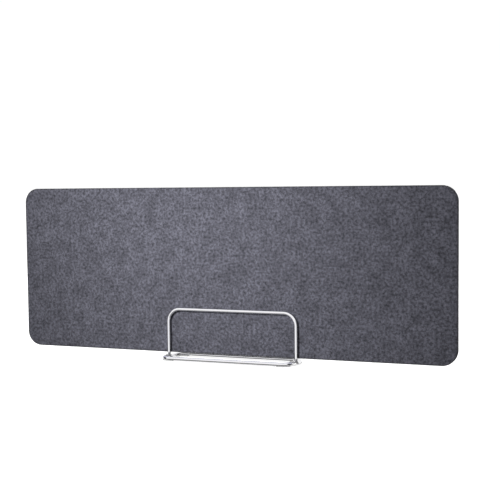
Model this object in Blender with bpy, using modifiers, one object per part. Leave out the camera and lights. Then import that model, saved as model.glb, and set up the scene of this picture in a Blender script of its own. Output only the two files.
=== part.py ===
"""Desk privacy panel: a felt board standing between two bent wire loops.

Units are metres and +Z is up. The origin is on the desk, below the middle of the board.
The board faces -Y. It drops in from above, between the two hoops, and rests on the
four bends at their feet.
"""

import math

import bpy
from mathutils import Vector

# Board
BOARD_WIDTH = 1.100
BOARD_HEIGHT = 0.400
BOARD_THICKNESS = 0.012
BOARD_CORNER = 0.036
SKIN_THICKNESS = 0.003
BAND_THICKNESS = 0.002
RIM_RADIUS = 0.001

# Wire stand
ROD_DIAMETER = 0.008
LEG_SPAN = 0.3255
HOOP_ABOVE_BOARD_EDGE = 0.106
HOOP_BEND = 0.030
FOOT_BEND = 0.0128
BASE_BEND = 0.022
BASE_REACH = 0.037
STAND_OFFSET = 0.010

# Pale translucent rubber shoes under the corners of the base
SHOE_WIDTH = 0.0106
SHOE_HEIGHT = 0.0034
SHOE_SOLE = 0.0015
SHOE_STRAIGHT = 0.008
SHOE_ARC = math.radians(58)

# Fits
GAP = 0.0003
BOARD_CLEARANCE = 0.0005
WELD_DISTANCE = 0.00001

# How finely curves are cut
CORNER_STEPS = 12
RIM_STEPS = 3
BEND_STEPS = 10
ROD_RESOLUTION = 4
GROOVE_STEPS = 10

rod_radius = ROD_DIAMETER / 2
rod_height = SHOE_SOLE + GAP + rod_radius
hoop_distance = BOARD_THICKNESS / 2 + BOARD_CLEARANCE + rod_radius
core_thickness = BOARD_THICKNESS - 2 * SKIN_THICKNESS - 2 * GAP
loop_shift = (ROD_DIAMETER + GAP) / 2


def resting_height():
    """Height of the board's lower edge once its rounded rims sit in the four foot bends."""
    bend_centre_height = rod_height + FOOT_BEND
    sideways = FOOT_BEND - hoop_distance + BOARD_THICKNESS / 2 - RIM_RADIUS
    between_centres = FOOT_BEND - rod_radius - GAP - RIM_RADIUS
    drop = math.sqrt(between_centres**2 - sideways**2)
    return bend_centre_height - drop - RIM_RADIUS


board_bottom = resting_height()
board_middle = board_bottom + BOARD_HEIGHT / 2
hoop_height = board_bottom + HOOP_ABOVE_BOARD_EDGE


def clear_scene():
    for old in list(bpy.data.objects):
        bpy.data.objects.remove(old, do_unlink=True)


def new_collection(name):
    made = bpy.data.collections.new(name)
    bpy.context.scene.collection.children.link(made)
    return made


def new_material(name, colour, roughness, metallic=0.0):
    made = bpy.data.materials.new(name)
    made.use_nodes = True
    shader = made.node_tree.nodes["Principled BSDF"]
    shader.inputs["Base Color"].default_value = (*colour, 1)
    shader.inputs["Roughness"].default_value = roughness
    shader.inputs["Metallic"].default_value = metallic
    return made


def new_empty(name, collection, location):
    made = bpy.data.objects.new(name, None)
    made.location = location
    collection.objects.link(made)
    return made


def new_object(name, data, collection, material, parent):
    made = bpy.data.objects.new(name, data)
    made.parent = parent
    if material is not None and not data.materials:
        data.materials.append(material)
    collection.objects.link(made)
    return made


def add_spline(curve, points, cyclic, smooth=True):
    spline = curve.splines.new("POLY")
    spline.points.add(len(points) - 1)
    for slot, point in zip(spline.points, points):
        slot.co = (*point, 1)
    spline.use_cyclic_u = cyclic
    spline.use_smooth = smooth


def bend(corner, towards_start, towards_end, radius, steps, share=1.0):
    """Points of the arc that rounds a square corner, or of the first share of it."""
    centre = corner + (towards_start + towards_end) * radius
    points = []
    for step in range(steps + 1):
        angle = share * math.pi / 2 * step / steps
        inward = towards_end * math.cos(angle) + towards_start * math.sin(angle)
        points.append(centre - inward * radius)
    return points


def bent_path(corners, steps):
    """Closed path through corners, a list of (point, bend radius)."""
    path = []
    for index, (corner, radius) in enumerate(corners):
        before = corners[index - 1][0]
        after = corners[(index + 1) % len(corners)][0]
        towards_start = (before - corner).normalized()
        towards_end = (after - corner).normalized()
        path += bend(corner, towards_start, towards_end, radius, steps)
    return path


def rounded_rectangle(width, height, radius):
    signs = ((1, 1), (-1, 1), (-1, -1), (1, -1))
    corners = [(Vector((x * width / 2, y * height / 2, 0)), radius) for x, y in signs]
    return bent_path(corners, CORNER_STEPS)


def upright_sheet(name, insets, thickness, y, collection, material, parent):
    """Flat sheet facing -Y. Its outline is the board's, drawn in by the first inset.

    A second inset cuts a window out of it, which leaves a band.
    """
    curve = bpy.data.curves.new(name, "CURVE")
    curve.dimensions = "2D"
    curve.fill_mode = "BOTH"
    curve.extrude = thickness / 2
    for inset in insets:
        outline = rounded_rectangle(
            BOARD_WIDTH - 2 * inset,
            BOARD_HEIGHT - 2 * inset,
            BOARD_CORNER - inset,
        )
        add_spline(curve, outline, cyclic=True, smooth=False)
    sheet = new_object(name, curve, collection, material, parent)
    sheet.rotation_euler = (math.pi / 2, 0, 0)
    sheet.location = (0, y, 0)
    weld = sheet.modifiers.new("weld_caps", "WELD")
    weld.merge_threshold = WELD_DISTANCE
    return sheet


def round_rims(sheet):
    rims = sheet.modifiers.new("round_rims", "BEVEL")
    rims.width = RIM_RADIUS - WELD_DISTANCE
    rims.segments = RIM_STEPS
    rims.limit_method = "ANGLE"
    rims.angle_limit = math.radians(60)


def make_board(collection, felt, core):
    """Two felt skins on a stiff core, closed all round by a felt band."""
    board = new_empty("board_frame", collection, (0, 0, board_middle))
    inner = BAND_THICKNESS + GAP
    skin_y = (core_thickness + SKIN_THICKNESS) / 2 + GAP
    upright_sheet("core_board", [inner], core_thickness, 0, collection, core, board)
    upright_sheet("front_felt", [inner], SKIN_THICKNESS, -skin_y, collection, felt, board)
    upright_sheet("rear_felt", [inner], SKIN_THICKNESS, skin_y, collection, felt, board)
    band = upright_sheet(
        "edge_band", [0, BAND_THICKNESS], BOARD_THICKNESS, 0, collection, felt, board
    )
    round_rims(band)


def loop_curve():
    """One closed wire: a hoop in front of the board and a flat base running out behind it."""
    left = loop_shift - LEG_SPAN / 2
    right = loop_shift + LEG_SPAN / 2
    front = -hoop_distance
    corners = [
        (Vector((left, front, rod_height)), FOOT_BEND),
        (Vector((left, front, hoop_height)), HOOP_BEND),
        (Vector((right, front, hoop_height)), HOOP_BEND),
        (Vector((right, front, rod_height)), FOOT_BEND),
        (Vector((right, BASE_REACH, rod_height)), BASE_BEND),
        (Vector((left, BASE_REACH, rod_height)), BASE_BEND),
    ]
    curve = bpy.data.curves.new("wire_loop", "CURVE")
    curve.dimensions = "3D"
    curve.bevel_depth = rod_radius
    curve.bevel_resolution = ROD_RESOLUTION
    add_spline(curve, bent_path(corners, BEND_STEPS), cyclic=True)
    return curve


def make_loops(collection, chrome, stand):
    """The two loops are the same wire. The rear one is turned half a turn about the stand."""
    wire = loop_curve()
    new_object("front_loop", wire, collection, chrome, stand)
    rear = new_object("rear_loop", wire, collection, chrome, stand)
    rear.rotation_euler = (0, 0, math.pi)


def shoe_profile(guides):
    """Cross-section of a shoe: a flat sole under a groove that takes the underside of the rod."""
    groove = rod_radius + GAP
    half_width = SHOE_WIDTH / 2
    depth = rod_height - SHOE_HEIGHT
    lip = math.asin(depth / groove)
    outline = [(half_width, 0), (-half_width, 0), (-half_width, SHOE_HEIGHT)]
    for step in range(GROOVE_STEPS + 1):
        angle = lip - math.pi + (math.pi - 2 * lip) * step / GROOVE_STEPS
        outline.append((groove * math.cos(angle), rod_height + groove * math.sin(angle)))
    outline.append((half_width, SHOE_HEIGHT))
    curve = bpy.data.curves.new("shoe_profile", "CURVE")
    curve.dimensions = "2D"
    add_spline(curve, [(x, y, 0) for x, y in outline], cyclic=True)
    profile = new_object("shoe_profile", curve, guides, None, None)
    profile.hide_render = True
    profile.display_type = "WIRE"
    return profile


def make_shoe(name, side, end, profile, collection, rubber, stand):
    """Rubber shoe under one corner of the base. side is -1 left or 1 right, end is -1 front."""
    across = end * loop_shift + side * LEG_SPAN / 2
    corner = Vector((across, end * BASE_REACH, 0))
    inward = Vector((-side, 0, 0))
    back = Vector((0, -end, 0))
    share = SHOE_ARC / (math.pi / 2)
    arc = bend(corner, inward, back, BASE_BEND, BEND_STEPS, share)
    path = [arc[0] + inward * SHOE_STRAIGHT, *arc]
    curve = bpy.data.curves.new(name, "CURVE")
    curve.dimensions = "3D"
    curve.twist_mode = "Z_UP"
    curve.bevel_mode = "OBJECT"
    curve.bevel_object = profile
    curve.use_fill_caps = True
    add_spline(curve, path, cyclic=False)
    new_object(name, curve, collection, rubber, stand)


def make_stand(collection, guides, chrome, rubber):
    stand = new_empty("stand_frame", collection, (STAND_OFFSET, 0, 0))
    make_loops(collection, chrome, stand)
    profile = shoe_profile(guides)
    for end, end_name in ((-1, "front"), (1, "rear")):
        for side, side_name in ((-1, "left"), (1, "right")):
            name = f"{end_name}_{side_name}_shoe"
            make_shoe(name, side, end, profile, collection, rubber, stand)


def build():
    clear_scene()
    parts = new_collection("desk_privacy_panel")
    guides = new_collection("guides")
    felt = new_material("charcoal_felt", (0.089, 0.089, 0.106), 0.95)
    core = new_material("pressed_core", (0.20, 0.19, 0.18), 0.90)
    chrome = new_material("chrome_plate", (0.86, 0.86, 0.88), 0.08, 1.0)
    rubber = new_material("shoe_rubber", (0.56, 0.562, 0.56), 0.62)
    make_board(parts, felt, core)
    make_stand(parts, guides, chrome, rubber)


build()
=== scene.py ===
"""Looks of the desk privacy panel: a felt board held upright by two bent chrome wires.

Lengths are metres and +Z is up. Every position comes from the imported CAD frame.
"""

import math

import bpy
import numpy as np
from mathutils import Matrix, Vector


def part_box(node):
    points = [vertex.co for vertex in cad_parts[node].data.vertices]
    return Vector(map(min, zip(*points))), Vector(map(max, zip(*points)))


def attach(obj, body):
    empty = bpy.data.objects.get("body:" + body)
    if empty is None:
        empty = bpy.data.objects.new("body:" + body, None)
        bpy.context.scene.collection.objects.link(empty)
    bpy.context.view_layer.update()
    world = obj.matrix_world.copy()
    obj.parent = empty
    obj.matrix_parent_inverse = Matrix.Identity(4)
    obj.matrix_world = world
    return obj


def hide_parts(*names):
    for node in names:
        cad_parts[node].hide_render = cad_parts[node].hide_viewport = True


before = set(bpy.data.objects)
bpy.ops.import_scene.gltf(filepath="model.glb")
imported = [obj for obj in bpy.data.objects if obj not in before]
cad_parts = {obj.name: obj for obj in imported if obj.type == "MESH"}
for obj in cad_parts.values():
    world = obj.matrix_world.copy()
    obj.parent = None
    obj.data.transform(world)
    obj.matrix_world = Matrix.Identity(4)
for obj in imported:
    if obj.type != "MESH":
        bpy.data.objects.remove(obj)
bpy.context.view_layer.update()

# Shapes that the CAD's boxes don't give
ROD_RADIUS = 0.004
HOOP_BEND = 0.030
FOOT_BEND = 0.0128
BASE_BEND = 0.022
BOARD_CORNER = 0.036
SHOE_WIDTH = 0.0106
SHOE_STRAIGHT = 0.008
SHOE_ARC = math.radians(58)
ROD_CLEARANCE = 0.0003

# Softened edges. A shoe's lips beside the rod get a share of its rounding.
RIM_RADIUS = 0.0011
SEAM_RADIUS = 0.0007
SHOE_ROUNDING = 0.0005
SHOE_END_ANGLES = (0, 0.5, 1.05)
LIP_SHARE = 0.5

# A shoe's ends shrink towards a point this far up the shoe, as a share of its height
SHOE_HEART = 0.35

# Fineness
FELT_STEP = 0.0023
RIM_STEPS = 5
BAND_STEPS = 5
BEND_STEPS = 24
ROD_SIDES = 40
STRAIGHT_STEP = 0.012
GROOVE_STEPS = 16
SHOE_CORNER_STEPS = 4
SHOE_STRAIGHT_STEPS = 6
TINY = 1e-9

# Depth of the felt's relief
RELIEF = 0.00014
DEEPEST = 3 * RELIEF
BAND_RELIEF = 0.7 * RELIEF

# Its fine and broad bumps: how wide in grid cells, and how strong
FINE_BUMP, FINE_STRENGTH = 1.6, 0.7
BROAD_BUMP, BROAD_STRENGTH = 9, 0.5
BAND_BUMP = 2.2

# Noise this many standard deviations from its mean counts as 1
NOISE_REACH = 2.5

# Colours of the felt's fibres, and the share of them left on the edge band by painted shade
FELT_DARK = (0.084, 0.084, 0.1045)
FELT_LIGHT = (0.189, 0.189, 0.225)
EDGE_PAINTED_SHADE = 0.6

# How brightly a wire mirrors the felt, as a share of its true brightness, which paints shade and
# light into the reflections: painted shade at CREVICE_SHADE up to CREVICE away, and from
# CREVICE_END on painted light at FAR_SHADE for the front felt. The rear felt and the edge stay at
# CREVICE_SHADE, painted shade at every distance.
CREVICE = 0.022
CREVICE_END = 0.033
CREVICE_SHADE = 0.15
FAR_SHADE = 5.0

# What only reflections show: a white room with dark sides, and a grey floor
ROOM_WHITE = 1.02
DARK_SIDE = 0.02
DARK_FROM, DARK_FULL = 0.82, 0.90
MIRRORED_FLOOR = 0.20
FLOOR_FROM, FLOOR_FULL = -0.38, -0.52

# Studio
ROOM_LIGHT = 0.057
FLOOR_WHITE = 0.30
FLOOR_GLOW = 1.10
FLOOR_HALF = 40.0

# Painted contact shadow: the floor's glow dims under what stands on it, within this reach, down to
# this share
CONTACT_REACH = 0.012
CONTACT_SHADE = 0.32

# Camera
CAMERA_PLACE = Vector((0.9444, -2.2904, 0.4259))
CAMERA_YAW = math.radians(-21.092)
CAMERA_PITCH = math.radians(3.701)
CAMERA_ROLL = math.radians(-0.615)
CAMERA_LENS = 75.15
CAMERA_SENSOR = 36


def new_mesh_object(name, points, faces, material, smooth=True):
    """Object with one material, made of points and of faces that list their points' numbers."""
    mesh = bpy.data.meshes.new(name)
    mesh.from_pydata([tuple(p) for p in points], [], [tuple(f) for f in faces])
    mesh.materials.append(material)
    mesh.validate()
    if smooth:
        mesh.shade_smooth()
    made = bpy.data.objects.new(name, mesh)
    bpy.context.scene.collection.objects.link(made)
    return made


def install(piece, body, node):
    """The piece stands for the CAD node, which is hidden, and moves with its body."""
    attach(piece, body)
    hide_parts(node)


# ---------------------------------------------------------------- felt board


def smooth_noise(shape, cells, seed):
    """Even noise with bumps about `cells` grid cells across, mostly between -1 and 1."""
    rng = np.random.default_rng(seed)
    raw = np.fft.rfft2(rng.standard_normal(shape))
    rows = np.fft.fftfreq(shape[0])[:, None]
    columns = np.fft.rfftfreq(shape[1])[None, :]
    keep = np.exp(-((rows**2 + columns**2) * (math.pi * cells / 2) ** 2))
    field = np.fft.irfft2(raw * keep, s=shape)
    return field / (NOISE_REACH * field.std())


def outline_directions(x, z, width, height, radius):
    """Outward directions of a rounded rectangle's outline at points on it."""
    spine_x = np.clip(x, radius - width / 2, width / 2 - radius)
    spine_z = np.clip(z, radius - height / 2, height / 2 - radius)
    away_x, away_z = x - spine_x, z - spine_z
    length = np.maximum(np.hypot(away_x, away_z), TINY)
    return away_x / length, away_z / length


def rounded_grid(width, height, radius, step):
    """Grid of points that fills a rounded rectangle, its border exactly on the outline."""
    columns = round(width / step)
    rows = round(height / step)
    x, z = np.meshgrid(
        np.linspace(-width / 2, width / 2, columns + 1),
        np.linspace(-height / 2, height / 2, rows + 1),
    )
    past_x = np.maximum(np.abs(x) - (width / 2 - radius), 0)
    past_z = np.maximum(np.abs(z) - (height / 2 - radius), 0)
    length = np.maximum(np.hypot(past_x, past_z), TINY)
    pull = np.maximum(past_x, past_z) / length - 1
    return x + np.sign(x) * past_x * pull, z + np.sign(z) * past_z * pull


def border_of(rows, columns):
    """Indices of a grid's border, counter-clockwise as seen with x right and z up."""
    bottom = [(0, c) for c in range(columns)]
    right = [(r, columns - 1) for r in range(1, rows)]
    top = [(rows - 1, c) for c in range(columns - 2, -1, -1)]
    left = [(r, 0) for r in range(rows - 2, 0, -1)]
    return [r * columns + c for r, c in bottom + right + top + left]


def felt_skin(name, node, side, seed, material):
    """Felt sheet with a softly rounded rim. side is -1 for the sheet that faces -Y."""
    low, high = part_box(node)
    board_low, board_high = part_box("edge_band")
    width, height = high.x - low.x, high.z - low.z
    radius = BOARD_CORNER - (board_high.x - board_low.x - width) / 2
    middle_x, middle_z = (low.x + high.x) / 2, (low.z + high.z) / 2
    face_y, back_y = (low.y, high.y) if side < 0 else (high.y, low.y)
    inner = (width - 2 * SEAM_RADIUS, height - 2 * SEAM_RADIUS, radius - SEAM_RADIUS)
    x, z = rounded_grid(*inner, FELT_STEP)
    rows, columns = x.shape
    relief = FINE_STRENGTH * smooth_noise(x.shape, FINE_BUMP, seed)
    relief += BROAD_STRENGTH * smooth_noise(x.shape, BROAD_BUMP, seed + 1)
    y = face_y - side * np.clip(RELIEF * (1 + relief), 0, DEEPEST)
    points = [np.stack([x + middle_x, y, z + middle_z], axis=-1).reshape(-1, 3)]
    faces = []
    for r in range(rows - 1):
        for c in range(columns - 1):
            first = r * columns + c
            faces.append((first, first + 1, first + columns + 1, first + columns))

    before = border_of(rows, columns)
    border = points[0][before]
    out_x, out_z = outline_directions(border[:, 0] - middle_x, border[:, 2] - middle_z, *inner)
    rim = []
    for step in range(1, RIM_STEPS + 1):
        turn = math.pi / 2 * step / RIM_STEPS
        depth = (1 - math.cos(turn)) * SEAM_RADIUS
        rim.append((math.sin(turn) * SEAM_RADIUS, border[:, 1] - side * depth))
    rim.append((SEAM_RADIUS, np.full(len(border), back_y)))
    start = rows * columns
    for out, level in rim:
        ring = [border[:, 0] + out_x * out, level, border[:, 2] + out_z * out]
        points.append(np.stack(ring, axis=-1))
        now = list(range(start, start + len(border)))
        for i in range(len(border)):
            j = (i + 1) % len(border)
            faces.append((before[i], now[i], now[j], before[j]))
        before = now
        start += len(border)
    faces.append(tuple(before))
    if side > 0:
        faces = [face[::-1] for face in faces]
    return new_mesh_object(name, np.concatenate(points), faces, material)


def rounded_outline(width, height, radius, step):
    """Points of a rounded rectangle and the outward directions there, counter-clockwise."""
    points, outward = [], []
    arc_steps = round(radius * math.pi / 2 / step)
    corners = ((1, 1), (-1, 1), (-1, -1), (1, -1))
    for index, (sx, sz) in enumerate(corners):
        centre = Vector((sx * (width / 2 - radius), sz * (height / 2 - radius)))
        first = math.pi / 2 * index
        for k in range(arc_steps + 1):
            angle = first + math.pi / 2 * k / arc_steps
            away = Vector((math.cos(angle), math.sin(angle)))
            points.append(centre + away * radius)
            outward.append(away)
        nx, nz = corners[(index + 1) % 4]
        following = Vector((nx * (width / 2 - radius), nz * (height / 2 - radius)))
        span = following - centre
        away = outward[-1]
        straight = round(span.length / step)
        for k in range(1, straight):
            points.append(centre + away * radius + span * k / straight)
            outward.append(away)
    return np.array(points), np.array(outward)


def band_section(thickness, half_depth):
    """Closed section of the edge band as (how far out, y): soft outer rims, small inner ones.

    The two long sides, across the board's thickness, are divided.
    """
    corners = (
        (0, half_depth, RIM_RADIUS),
        (-thickness, half_depth, SEAM_RADIUS),
        (-thickness, -half_depth, SEAM_RADIUS),
        (0, -half_depth, RIM_RADIUS),
    )
    rounded = []
    for quarter, (out, y, radius) in enumerate(corners):
        centre_out = out + math.copysign(radius, -1 if out == 0 else 1)
        centre_y = y - math.copysign(radius, y)
        for step in range(RIM_STEPS + 1):
            angle = math.pi / 2 * (quarter + step / RIM_STEPS)
            away = (math.cos(angle) * radius, math.sin(angle) * radius)
            rounded.append((centre_out + away[0], centre_y + away[1]))
    section = []
    for index, (out, y) in enumerate(rounded):
        section.append((out, y))
        following = rounded[(index + 1) % len(rounded)][1]
        if abs(following - y) > half_depth / 2:
            for k in range(1, BAND_STEPS):
                section.append((out, y + (following - y) * k / BAND_STEPS))
    return section


def edge_band(name, seed, material):
    """Felt band that closes the board's edge all round."""
    low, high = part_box("edge_band")
    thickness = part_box("front_felt")[0].x - low.x
    middle_x, middle_z = (low.x + high.x) / 2, (low.z + high.z) / 2
    outline, outward = rounded_outline(high.x - low.x, high.z - low.z, BOARD_CORNER, FELT_STEP)
    section = band_section(thickness, (high.y - low.y) / 2)
    count, size = len(outline), len(section)
    relief = BAND_RELIEF * (smooth_noise((count, size), BAND_BUMP, seed) - 1)
    points = np.zeros((count, size, 3))
    for k, (out, y) in enumerate(section):
        far = out + relief[:, k] if out > -thickness / 2 else out
        points[:, k, 0] = middle_x + outline[:, 0] + outward[:, 0] * far
        points[:, k, 1] = y
        points[:, k, 2] = middle_z + outline[:, 1] + outward[:, 1] * far
    faces = closed_strip(count, size)
    return new_mesh_object(name, points.reshape(-1, 3), faces, material)


def closed_strip(count, size):
    """Faces of a closed strip of `count` rings with `size` points each."""
    faces = []
    for i in range(count):
        j = (i + 1) % count
        for k in range(size):
            m = (k + 1) % size
            faces.append((i * size + k, i * size + m, j * size + m, j * size + k))
    return faces


# ---------------------------------------------------------------- wire stand


def bend(corner, towards_start, towards_end, radius, share=1.0):
    """Points of the arc that rounds a square corner, or of the first share of it."""
    centre = corner + (towards_start + towards_end) * radius
    points = []
    for step in range(BEND_STEPS + 1):
        angle = share * math.pi / 2 * step / BEND_STEPS
        inward = towards_end * math.cos(angle) + towards_start * math.sin(angle)
        points.append(centre - inward * radius)
    return points


def bent_path(corners):
    """Closed path through corners, a list of (point, bend radius), its straights divided."""
    path = []
    for index, (corner, radius) in enumerate(corners):
        before = corners[index - 1][0]
        after, after_radius = corners[(index + 1) % len(corners)]
        towards_start = (before - corner).normalized()
        towards_end = (after - corner).normalized()
        path += bend(corner, towards_start, towards_end, radius)
        start = corner + towards_end * radius
        end = after - towards_end * after_radius
        pieces = max(1, round((end - start).length / STRAIGHT_STEP))
        path += [start.lerp(end, k / pieces) for k in range(1, pieces)]
    return path


def tube(name, path, radius, material):
    """Closed round rod along a closed path, its rings turned as little as possible."""
    count = len(path)
    tangents = [(path[(i + 1) % count] - path[i - 1]).normalized() for i in range(count)]
    side = tangents[0].orthogonal().normalized()
    sides = [side]
    for i in range(1, count + 1):
        turn = tangents[i - 1].rotation_difference(tangents[i % count])
        side = (turn @ side).normalized()
        sides.append(side)
    first, last = sides[0], sides[-1]
    twist = math.atan2(last.cross(first).dot(tangents[0]), last.dot(first))
    points = []
    for i in range(count):
        u = sides[i].copy()
        u.rotate(Matrix.Rotation(twist * i / count, 3, tangents[i]))
        v = tangents[i].cross(u)
        for k in range(ROD_SIDES):
            angle = 2 * math.pi * k / ROD_SIDES
            points.append(path[i] + (u * math.cos(angle) + v * math.sin(angle)) * radius)
    return new_mesh_object(name, points, closed_strip(count, ROD_SIDES), material)


def loop_lines(node, hoop_side):
    """Centre lines of a loop from its box: left, right, hoop y, base y, base z and hoop z."""
    low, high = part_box(node)
    left, right = low.x + ROD_RADIUS, high.x - ROD_RADIUS
    front, back = low.y + ROD_RADIUS, high.y - ROD_RADIUS
    hoop_y, base_y = (front, back) if hoop_side < 0 else (back, front)
    return left, right, hoop_y, base_y, low.z + ROD_RADIUS, high.z - ROD_RADIUS


def wire_loop(name, node, hoop_side, material):
    """Bent rod: an upright hoop, two feet and a flat base on the hoop's other side."""
    left, right, hoop_y, base_y, base_z, hoop_z = loop_lines(node, hoop_side)
    corners = [
        (Vector((left, hoop_y, base_z)), FOOT_BEND),
        (Vector((left, hoop_y, hoop_z)), HOOP_BEND),
        (Vector((right, hoop_y, hoop_z)), HOOP_BEND),
        (Vector((right, hoop_y, base_z)), FOOT_BEND),
        (Vector((right, base_y, base_z)), BASE_BEND),
        (Vector((left, base_y, base_z)), BASE_BEND),
    ]
    return tube(name, bent_path(corners), ROD_RADIUS, material)


# ---------------------------------------------------------------- rubber shoes


def rounded_polygon(corners, radius):
    """Closed polygon with its corners rounded. A corner is (x, y, share of the radius)."""
    points = []
    for index, (x, y, share) in enumerate(corners):
        here = Vector((x, y))
        before = Vector(corners[index - 1][:2])
        after = Vector(corners[(index + 1) % len(corners)][:2])
        cut = radius * share
        if cut == 0:
            points.append(here)
            continue
        start = here + (before - here).normalized() * cut
        end = here + (after - here).normalized() * cut
        for step in range(SHOE_CORNER_STEPS + 1):
            t = step / SHOE_CORNER_STEPS
            points.append(start * (1 - t) ** 2 + here * 2 * t * (1 - t) + end * t**2)
    return points


def shoe_section(height, rod_z):
    """Section of a shoe across the rod: flat sole, rounded shoulders and a groove."""
    groove = ROD_RADIUS + ROD_CLEARANCE
    half = SHOE_WIDTH / 2
    lip = math.asin((rod_z - height) / groove)
    corners = [(half, 0, 1.0), (-half, 0, 1.0), (-half, height, 1.0)]
    for step in range(GROOVE_STEPS + 1):
        angle = lip - math.pi + (math.pi - 2 * lip) * step / GROOVE_STEPS
        share = LIP_SHARE if step in (0, GROOVE_STEPS) else 0
        corners.append((groove * math.cos(angle), rod_z + groove * math.sin(angle), share))
    corners.append((half, height, 1.0))
    return rounded_polygon(corners, SHOE_ROUNDING)


def end_rings(tip, inwards, tangent):
    """Rings that round a shoe's end, from its tip inwards, as (place, tangent, shrink)."""
    rings = []
    for angle in SHOE_END_ANGLES:
        place = tip + inwards * SHOE_ROUNDING * (1 - math.cos(angle))
        rings.append((place, tangent, SHOE_ROUNDING * (1 - math.sin(angle))))
    return rings


def rubber_shoe(name, node, loop, hoop_side, side, material):
    """Shoe under a corner of the base wire, following its bend. side is -1 on the left."""
    left, right, _, base_y, rod_z, _ = loop_lines(loop, hoop_side)
    low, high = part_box(node)
    height = high.z - low.z
    corner = Vector((left if side < 0 else right, base_y, 0))
    inward = Vector((-side, 0, 0))
    back = Vector((0, -math.copysign(1, base_y), 0))
    arc = bend(corner, inward, back, BASE_BEND, SHOE_ARC / (math.pi / 2))
    start = arc[0] + inward * SHOE_STRAIGHT
    path = [start.lerp(arc[0], k / SHOE_STRAIGHT_STEPS) for k in range(SHOE_STRAIGHT_STEPS)]
    path += arc
    tangents = [-inward]
    for before, after in zip(path, path[2:] + path[-1:]):
        tangents.append((after - before).normalized())

    rings = end_rings(path[0], tangents[0], tangents[0])
    rings += [(place, tangent, 0.0) for place, tangent in zip(path[1:-1], tangents[1:-1])]
    rings += reversed(end_rings(path[-1], -tangents[-1], tangents[-1]))
    section = shoe_section(height, rod_z)
    heart = Vector((0, height * SHOE_HEART))
    points = []
    for place, tangent, shrink in rings:
        across = tangent.cross(Vector((0, 0, 1)))
        for spot in section:
            away = spot - heart
            kept = heart + away * (1 - shrink / away.length)
            points.append(place + across * kept.x + Vector((0, 0, kept.y)))
    size = len(section)
    faces = closed_strip(len(rings), size)[:-size]
    faces.append(tuple(reversed(range(size))))
    faces.append(tuple(range((len(rings) - 1) * size, len(rings) * size)))
    return new_mesh_object(name, points, faces, material)


# ---------------------------------------------------------------- materials


class Nodes:
    """Short hand for building a node tree. An input is a value or another node's socket."""

    def __init__(self, tree):
        self.tree = tree

    def add(self, kind, inputs=None, **settings):
        """New node. inputs are by socket name or number, and settings are its properties."""
        node = self.tree.nodes.new(kind)
        for key, value in settings.items():
            setattr(node, key, value)
        for key, value in (inputs or {}).items():
            self.feed(node.inputs[key], value)
        return node

    def feed(self, socket, value):
        if isinstance(value, bpy.types.NodeSocket):
            self.tree.links.new(value, socket)
        else:
            socket.default_value = value

    def place(self):
        """Place on the object, in metres."""
        return self.add("ShaderNodeTexCoord").outputs["Object"]

    def light_path(self):
        return self.add("ShaderNodeLightPath").outputs

    def noise(self, place, scale, detail=2.0, roughness=0.5, distortion=0.0):
        inputs = {
            "Vector": place,
            "Scale": scale,
            "Detail": detail,
            "Roughness": roughness,
            "Distortion": distortion,
        }
        return self.add("ShaderNodeTexNoise", inputs).outputs["Fac"]

    def math(self, operation, a, b=0.0):
        return self.add("ShaderNodeMath", {0: a, 1: b}, operation=operation).outputs[0]

    def spread(self, value, low, high, to_low, to_high, shape="LINEAR"):
        """Runs from to_low to to_high as value runs from low to high, and stays there past them."""
        inputs = {
            "Value": value,
            "From Min": low,
            "From Max": high,
            "To Min": to_low,
            "To Max": to_high,
        }
        node = self.add("ShaderNodeMapRange", inputs, interpolation_type=shape)
        return node.outputs["Result"]

    def soft(self, value, low, high, to_low, to_high):
        """As spread, but easing in and out."""
        return self.spread(value, low, high, to_low, to_high, "SMOOTHSTEP")

    def mix(self, share, a, b):
        """Colour a at share 0 and b at share 1. Sockets go by number, as their names repeat."""
        node = self.add("ShaderNodeMix", {0: share, 6: a, 7: b}, data_type="RGBA")
        return node.outputs[2]

    def bump(self, height, distance, strength=1.0):
        inputs = {"Height": height, "Distance": distance, "Strength": strength}
        return self.add("ShaderNodeBump", inputs).outputs["Normal"]

    def dress(self, **finish):
        """Sets the shader's inputs. A name's underscores stand for spaces."""
        shader = self.tree.nodes["Principled BSDF"]
        for key, value in finish.items():
            self.feed(shader.inputs[key.replace("_", " ")], value)


def new_material(name):
    material = bpy.data.materials.new(name)
    material.use_nodes = True
    return material, Nodes(material.node_tree)


def grey(level):
    return (level, level, level, 1)


def shaded(colour, shade):
    return (*[channel * shade for channel in colour], 1)


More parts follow.
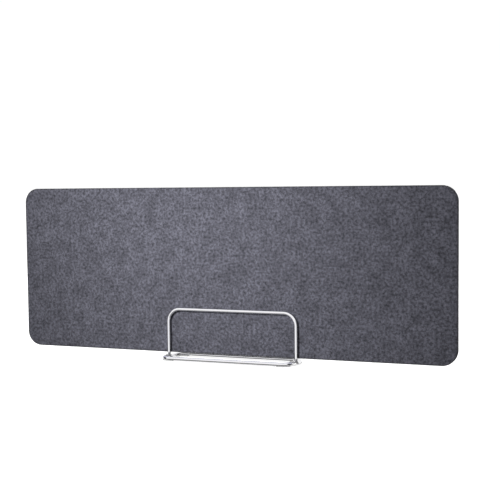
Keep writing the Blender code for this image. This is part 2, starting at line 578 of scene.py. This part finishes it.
def felt_material(name, shade, far_shade):
    """Heather felt: light and dark fibres matted together, in soft clouds.

    shade scales its colour; below 1 it is painted shade. A wire's reflection of it gets painted
    shade when it is near, and is far_shade times as bright from afar.
    """
    material, n = new_material(name)
    place = n.place()
    grain = n.noise(place, 160, detail=2.5, roughness=0.66)
    clouds = n.noise(place, 34, detail=3.0, roughness=0.6)
    broad = n.noise(place, 7)
    fibres = n.noise(place, 620, roughness=0.6, distortion=1.2)
    tone = n.spread(grain, 0.33, 0.67, 0.41, 1.59)
    tone = n.math("MULTIPLY", tone, n.spread(clouds, 0.3, 0.7, 0.76, 1.24))
    tone = n.math("MULTIPLY", tone, n.spread(broad, 0.3, 0.7, 0.96, 1.04))
    # Painted shade and light in reflections: only glossy rays see the tone changed with distance
    path = n.light_path()
    distance = path["Ray Length"]
    mirrored = n.spread(distance, CREVICE, CREVICE_END, CREVICE_SHADE, far_shade)
    tone = n.math("MULTIPLY", tone, n.spread(path["Is Glossy Ray"], 0, 1, 1, mirrored))
    flecks = n.spread(fibres, 0.60, 0.74, 0.0, 0.5)
    base = n.mix(flecks, shaded(FELT_DARK, shade), shaded(FELT_LIGHT, shade))
    scaled = n.add("ShaderNodeVectorMath", {0: base, "Scale": tone}, operation="SCALE")
    height = n.math("ADD", grain, n.math("MULTIPLY", fibres, 0.6))
    n.dress(
        Base_Color=scaled.outputs[0],
        Roughness=0.95,
        Specular_IOR_Level=0.3,
        Sheen_Weight=0.17,
        Sheen_Roughness=0.6,
        Normal=n.bump(height, 0.0004, 0.6),
    )
    return material


def chrome_material(name):
    """Chrome plate with a faint haze and hairline polishing marks."""
    material, n = new_material(name)
    place = n.place()
    haze = n.noise(place, 60, detail=3.0)
    hairlines = n.noise(place, 700, detail=1.0)
    n.dress(
        Base_Color=(0.86, 0.86, 0.885, 1),
        Metallic=1.0,
        Roughness=n.spread(haze, 0.3, 0.7, 0.06, 0.13),
        Normal=n.bump(hairlines, 0.00001, 0.25),
    )
    return material


def rubber_material(name):
    """Pale translucent rubber, a little cloudy and finely speckled."""
    material, n = new_material(name)
    place = n.place()
    speckle = n.noise(place, 900, detail=3.0)
    wear = n.noise(place, 120)
    worn = n.spread(wear, 0.35, 0.7, 0, 1)
    n.dress(
        Base_Color=n.mix(worn, (0.50, 0.502, 0.50, 1), (0.62, 0.622, 0.62, 1)),
        Alpha=0.30,
        Roughness=n.spread(speckle, 0.3, 0.7, 0.5, 0.75),
        Normal=n.bump(speckle, 0.00008, 0.6),
    )
    return material


def core_material(name):
    """Pressed fibreboard: brown-grey with short chips."""
    material, n = new_material(name)
    chips = n.noise(n.place(), 260, detail=4.0, roughness=0.7, distortion=0.8)
    share = n.spread(chips, 0.35, 0.65, 0, 1)
    n.dress(
        Base_Color=n.mix(share, (0.10, 0.085, 0.07, 1), (0.26, 0.23, 0.19, 1)),
        Roughness=0.9,
        Normal=n.bump(chips, 0.0002, 0.5),
    )
    return material


# ---------------------------------------------------------------- studio


def make_floor():
    """White table that glows for the camera only, its glow dimmed by painted contact shadow right
    beside what stands on it.

    Reflections don't show it: the world has its own mirrored floor.
    """
    material, n = new_material("white_floor")
    # Painted contact shadow from ambient occlusion, in the glow only
    contact = n.add("ShaderNodeAmbientOcclusion", {"Distance": CONTACT_REACH}, samples=8)
    clear = n.spread(contact.outputs["AO"], 0, 1, CONTACT_SHADE, 1)
    glow = n.soft(n.light_path()["Is Camera Ray"], 0, 1, 0, FLOOR_GLOW)
    n.dress(
        Base_Color=grey(FLOOR_WHITE),
        Roughness=0.9,
        Specular_IOR_Level=0.1,
        Emission_Color=grey(1),
        Emission_Strength=n.math("MULTIPLY", glow, clear),
    )
    material.cycles.emission_sampling = "NONE"
    signs = ((-1, -1), (1, -1), (1, 1), (-1, 1))
    corners = [(x * FLOOR_HALF, y * FLOOR_HALF, 0) for x, y in signs]
    floor = new_mesh_object("floor", corners, [(0, 1, 2, 3)], material, smooth=False)
    floor.visible_glossy = False


def make_world():
    """White for the camera and a dim light on matt surfaces.

    Reflections show a white room with dark sides and a grey floor.
    """
    world = bpy.data.worlds.new("white_room")
    bpy.context.scene.world = world
    world.use_nodes = True
    n = Nodes(world.node_tree)
    path = n.light_path()
    towards = n.add("ShaderNodeTexCoord").outputs["Generated"]
    split = n.add("ShaderNodeSeparateXYZ", {0: towards}).outputs
    room = n.soft(split["Z"], FLOOR_FULL, FLOOR_FROM, MIRRORED_FLOOR, ROOM_WHITE)
    sideways = n.math("ABSOLUTE", split["X"])
    mirrored = n.soft(sideways, DARK_FROM, DARK_FULL, room, DARK_SIDE)
    strength = n.soft(path["Is Glossy Ray"], 0, 1, ROOM_LIGHT, mirrored)
    strength = n.soft(path["Is Camera Ray"], 0, 1, strength, ROOM_WHITE)
    background = world.node_tree.nodes["Background"]
    n.feed(background.inputs["Color"], grey(1))
    n.feed(background.inputs["Strength"], strength)
    world.cycles.sampling_method = "NONE"


def new_light(name, kind, power):
    """Lamp that reflections don't show."""
    data = bpy.data.lights.new(name, kind)
    data.energy = power
    light = bpy.data.objects.new(name, data)
    light.visible_glossy = False
    bpy.context.scene.collection.objects.link(light)
    return light


def area_light(name, place, target, size, power, spread=180):
    """Square soft box of the given size and spread in degrees, turned to its target."""
    light = new_light(name, "AREA", power)
    light.data.size = size
    light.data.spread = math.radians(spread)
    light.location = place
    light.rotation_mode = "QUATERNION"
    light.rotation_quaternion = (Vector(place) - Vector(target)).to_track_quat("Z", "Y")


def make_lights():
    """Narrow key light on the board's front, two fills and a soft light from above."""
    key_place, key_target = (-0.75, -1.75, 1.05), (-0.05, 0.0, 0.34)
    rear_place, rear_target = (-0.9, 2.3, 1.4), (0.0, 0.0, 0.2)
    side_place, side_target = (2.4, 0.5, 0.9), (0.5, 0.0, 0.2)
    area_light("key", key_place, key_target, size=0.5, power=5.5, spread=48)
    area_light("rear_fill", rear_place, rear_target, size=1.0, power=81)
    area_light("side_fill", side_place, side_target, size=0.8, power=19)
    overhead = new_light("overhead", "SUN", power=0.33)
    overhead.data.angle = math.radians(70)


def make_camera():
    """Camera that looks along +Y, then is turned by its yaw, tipped down and rolled."""
    ahead = Vector((
        math.sin(CAMERA_YAW) * math.cos(CAMERA_PITCH),
        math.cos(CAMERA_YAW) * math.cos(CAMERA_PITCH),
        -math.sin(CAMERA_PITCH),
    ))
    level = Vector((math.cos(CAMERA_YAW), -math.sin(CAMERA_YAW), 0))
    above = level.cross(ahead)
    right = level * math.cos(CAMERA_ROLL) + above * math.sin(CAMERA_ROLL)
    up = above * math.cos(CAMERA_ROLL) - level * math.sin(CAMERA_ROLL)
    data = bpy.data.cameras.new("camera")
    data.lens = CAMERA_LENS
    data.sensor_width = CAMERA_SENSOR
    camera = bpy.data.objects.new("camera", data)
    matrix = Matrix((right, up, -ahead)).transposed().to_4x4()
    matrix.translation = CAMERA_PLACE
    camera.matrix_world = matrix
    bpy.context.scene.collection.objects.link(camera)
    bpy.context.scene.camera = camera


# ---------------------------------------------------------------- the object


def make_board():
    """The felts and the band replace the CAD's. The core keeps the CAD's shape."""
    # Wire reflections of the felt: painted shade up close, and from afar painted light on the front
    # felt and painted shade on the rear felt and the edge.
    felt = felt_material("charcoal_felt", 1, FAR_SHADE)
    rear_felt = felt_material("charcoal_rear_felt", 1, CREVICE_SHADE)
    # The edge felt's own colour is darkened by painted shade.
    edge_felt = felt_material("charcoal_edge_felt", EDGE_PAINTED_SHADE, CREVICE_SHADE)
    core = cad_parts["core_board"].data
    core.materials.clear()
    core.materials.append(core_material("pressed_core"))
    front = felt_skin("front_felt_skin", "front_felt", side=-1, seed=11, material=felt)
    rear = felt_skin("rear_felt_skin", "rear_felt", side=1, seed=23, material=rear_felt)
    band = edge_band("felt_edge_band", seed=37, material=edge_felt)
    install(front, "board", "front_felt")
    install(rear, "board", "rear_felt")
    install(band, "board", "edge_band")


def make_stand():
    """Each loop's base lies on the other side of its hoop, with a shoe under both corners."""
    chrome = chrome_material("chrome_plate")
    rubber = rubber_material("shoe_rubber")
    for hoop, hoop_side, base in (("front", -1, "rear"), ("rear", 1, "front")):
        loop = f"{hoop}_loop"
        wire = wire_loop(f"{hoop}_wire_loop", loop, hoop_side, chrome)
        install(wire, "stand", loop)
        for side_name, side in (("left", -1), ("right", 1)):
            corner = f"{base}_{side_name}"
            node = f"{corner}_shoe"
            shoe = rubber_shoe(f"{corner}_rubber_shoe", node, loop, hoop_side, side, rubber)
            install(shoe, "stand", node)


make_board()
make_stand()
make_floor()
make_world()
make_lights()
make_camera()
bpy.context.scene.view_settings.view_transform = "Standard"
